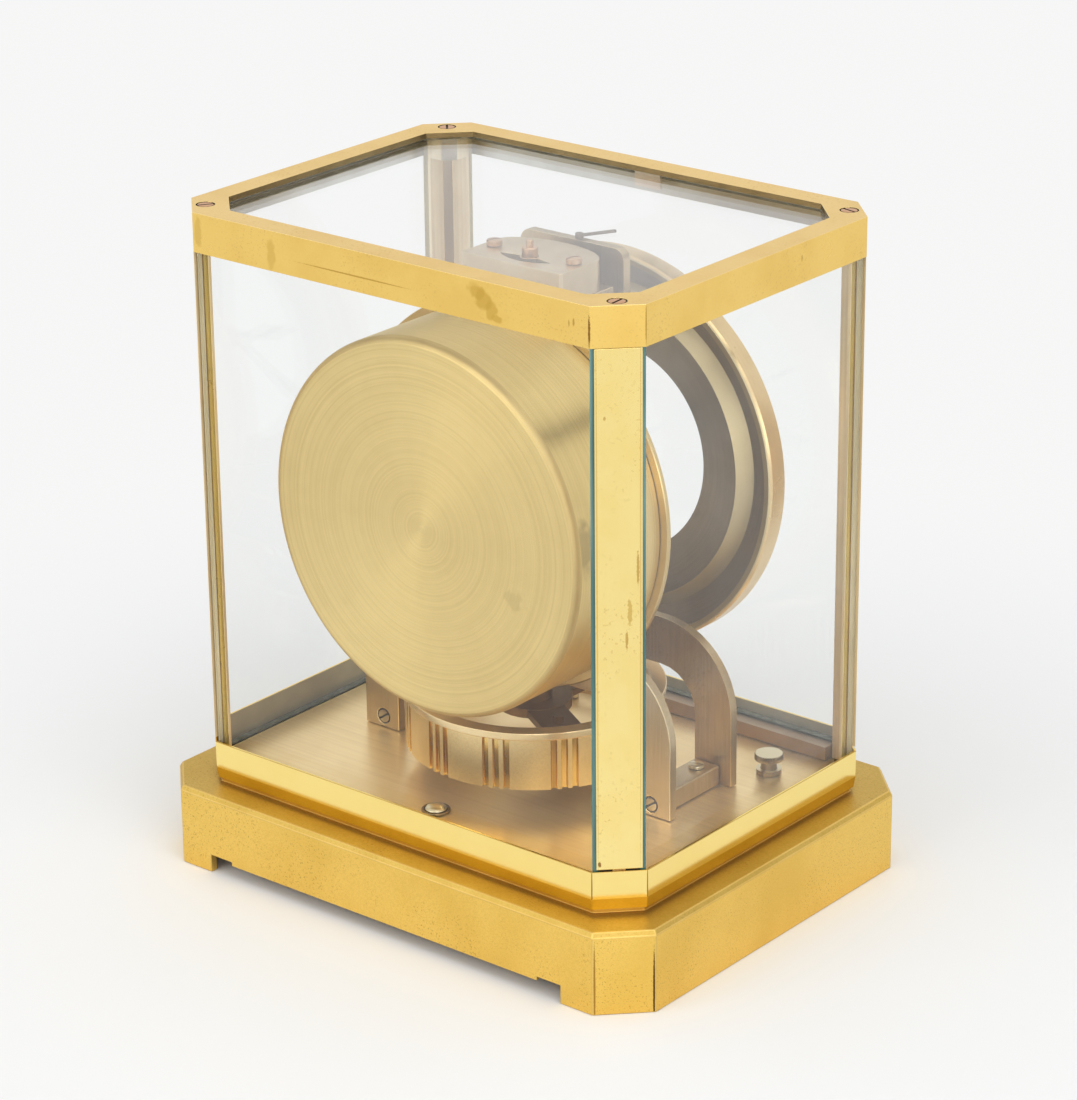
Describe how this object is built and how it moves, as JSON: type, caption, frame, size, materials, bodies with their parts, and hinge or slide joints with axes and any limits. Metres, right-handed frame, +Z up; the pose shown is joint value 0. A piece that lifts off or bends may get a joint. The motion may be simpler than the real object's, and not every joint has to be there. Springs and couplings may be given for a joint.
{
  "type": "atmospheric clock",
  "caption": "Glazed brass table clock wound by a vapour drum and paced by a slow torsion balance, with its going train open to view behind the dial ring.",
  "frame": {"origin": "bottom centre of the bounding box: on the table, under the middle of the base", "axes": "+Z up; the dial and the front pane face -Y, the drum and the rear pane face +Y; +X is on the right of someone facing the dial"},
  "size_m": [0.2118, 0.163, 0.235],
  "materials": {
    "brass_polished": "polished",
    "brass_satin": "satin",
    "brass_pale": "satin, turned",
    "brass_brown": "matt, toned brown",
    "copper_screw": "satin, coppery",
    "steel": "fine satin",
    "enamel": "satin, off-white",
    "dark_hand": "satin, near black",
    "clear_glass": "clear"
  },
  "bodies": {
    "case": {"base_shell": "brass_satin", "plinth_band": "brass_polished", "floor_plate": "brass_satin", "front_sill": "copper_screw", "post_rear_left": "brass_polished", "post_rear_right": "brass_polished", "post_front_left": "brass_polished", "post_front_right": "brass_polished", "top_frame": "brass_satin", "top_screw_1": "copper_screw", "top_screw_2": "copper_screw", "top_screw_3": "copper_screw", "top_screw_4": "copper_screw", "top_glass": "clear_glass", "side_glass_left": "clear_glass", "side_glass_right": "clear_glass", "rear_glass": "clear_glass", "door_catch": "brass_satin", "floor_screw": "brass_pale", "level_cup": "brass_polished", "level_vial": "clear_glass", "rear_frame": "brass_brown", "front_frame": "brass_brown", "stretcher_left": "brass_brown", "stretcher_right": "brass_brown", "foot_screw_left": "brass_pale", "foot_screw_right": "brass_pale", "stretcher_screw_left": "brass_pale", "stretcher_screw_right": "brass_pale", "suspension_block": "brass_satin", "block_screw_left": "brass_pale", "block_screw_right": "brass_pale", "suspension_clamp": "brass_pale", "drum_shell": "brass_pale", "drum_cover": "brass_pale", "bellows": "brass_pale", "counter_spring": "steel", "dial_ring": "enamel", "dial_bezel": "brass_satin", "train_bridge": "brass_satin"},
    "door": {"front_glass": "clear_glass"},
    "balance": {"balance_ring": "brass_satin", "balance_hub": "brass_brown", "suspension_wire": "steel"},
    "bellows_cap": {"bellows_plate": "brass_pale"},
    "barrel": {"barrel": "brass_satin"},
    "third": {"intermediate_wheel": "brass_satin"},
    "centre": {"centre_wheel": "brass_satin", "minute_hand": "dark_hand"},
    "escape": {"escape_wheel": "brass_satin"},
    "pallets": {"pallet_lever": "steel"},
    "motion": {"motion_wheel": "brass_satin"},
    "hour": {"hour_hand": "dark_hand"},
    "regulator": {"regulator_lever": "steel"},
    "lock": {"lock_lever": "brass_satin"},
    "knob_left": {"level_knob_left": "brass_pale"},
    "knob_right": {"level_knob_right": "brass_pale"},
    "pad_left": {"foot_pad_left": "brass_satin"},
    "pad_right": {"foot_pad_right": "brass_satin"}
  },
  "joints": [
    {"name": "door_lift", "type": "slide", "parent": "case", "child": "door", "axis": [0, 0, 1], "range_m": [0, 0.0042]},
    {"name": "balance_swing", "type": "hinge", "parent": "case", "child": "balance", "pos_m": [0, -0.002, 0.055], "axis": [0, 0, 1], "range_deg": [-270, 270], "stiffness_Nm_per_rad": 0.0000046},
    {"name": "bellows_breathe", "type": "slide", "parent": "case", "child": "bellows_cap", "axis": [0, 1, 0], "range_m": [-0.0025, 0.0025], "stiffness_N_per_m": 400, "deforming": ["bellows", "counter_spring"]},
    {"name": "centre_turn", "type": "hinge", "parent": "case", "child": "centre", "pos_m": [0, -0.0225, 0.138], "axis": [0, 1, 0], "continuous": true},
    {"name": "barrel_turn", "type": "hinge", "parent": "case", "child": "barrel", "pos_m": [0, -0.0155, 0.138], "axis": [0, 1, 0], "continuous": true},
    {"name": "third_turn", "type": "hinge", "parent": "case", "child": "third", "pos_m": [0, -0.0195, 0.16265], "axis": [0, 1, 0], "continuous": true},
    {"name": "escape_turn", "type": "hinge", "parent": "case", "child": "escape", "pos_m": [0, -0.018, 0.11385], "axis": [0, 1, 0], "continuous": true},
    {"name": "motion_turn", "type": "hinge", "parent": "case", "child": "motion", "pos_m": [0, -0.03, 0.12585], "axis": [0, 1, 0], "continuous": true},
    {"name": "hour_turn", "type": "hinge", "parent": "case", "child": "hour", "pos_m": [0, -0.033, 0.138], "axis": [0, 1, 0], "continuous": true},
    {"name": "pallet_rock", "type": "hinge", "parent": "case", "child": "pallets", "pos_m": [0, -0.018, 0.1003], "axis": [0, 1, 0], "range_deg": [-4, 4]},
    {"name": "regulator_turn", "type": "hinge", "parent": "case", "child": "regulator", "pos_m": [-0.002, -0.02575, 0.2175], "axis": [0, 0, 1], "range_deg": [-15, 15]},
    {"name": "lock_turn", "type": "hinge", "parent": "case", "child": "lock", "pos_m": [0.024, -0.052, 0.037], "axis": [0, 0, 1], "range_deg": [-40, 0]},
    {"name": "knob_left_turn", "type": "hinge", "parent": "case", "child": "knob_left", "pos_m": [0.0708, -0.0425, 0.03], "axis": [0, 0, 1], "range_deg": [0, 2160]},
    {"name": "knob_right_turn", "type": "hinge", "parent": "case", "child": "knob_right", "pos_m": [-0.0708, -0.0425, 0.03], "axis": [0, 0, 1], "range_deg": [0, 2160]},
    {"name": "pad_left_lower", "type": "slide", "parent": "case", "child": "pad_left", "axis": [0, 0, 1], "range_m": [-0.006, 0]},
    {"name": "pad_right_lower", "type": "slide", "parent": "case", "child": "pad_right", "axis": [0, 0, 1], "range_m": [-0.006, 0]}
  ],
  "couplings": [
    {"joint": "barrel_turn", "follows": "centre_turn", "ratio": 0.041667},
    {"joint": "third_turn", "follows": "centre_turn", "ratio": -0.25},
    {"joint": "escape_turn", "follows": "centre_turn", "ratio": -4},
    {"joint": "motion_turn", "follows": "centre_turn", "ratio": -0.33333},
    {"joint": "hour_turn", "follows": "centre_turn", "ratio": 0.083333},
    {"joint": "knob_left_turn", "follows": "pad_left_lower", "rad_per_m": -6283.2},
    {"joint": "knob_right_turn", "follows": "pad_right_lower", "rad_per_m": -6283.2}
  ]
}
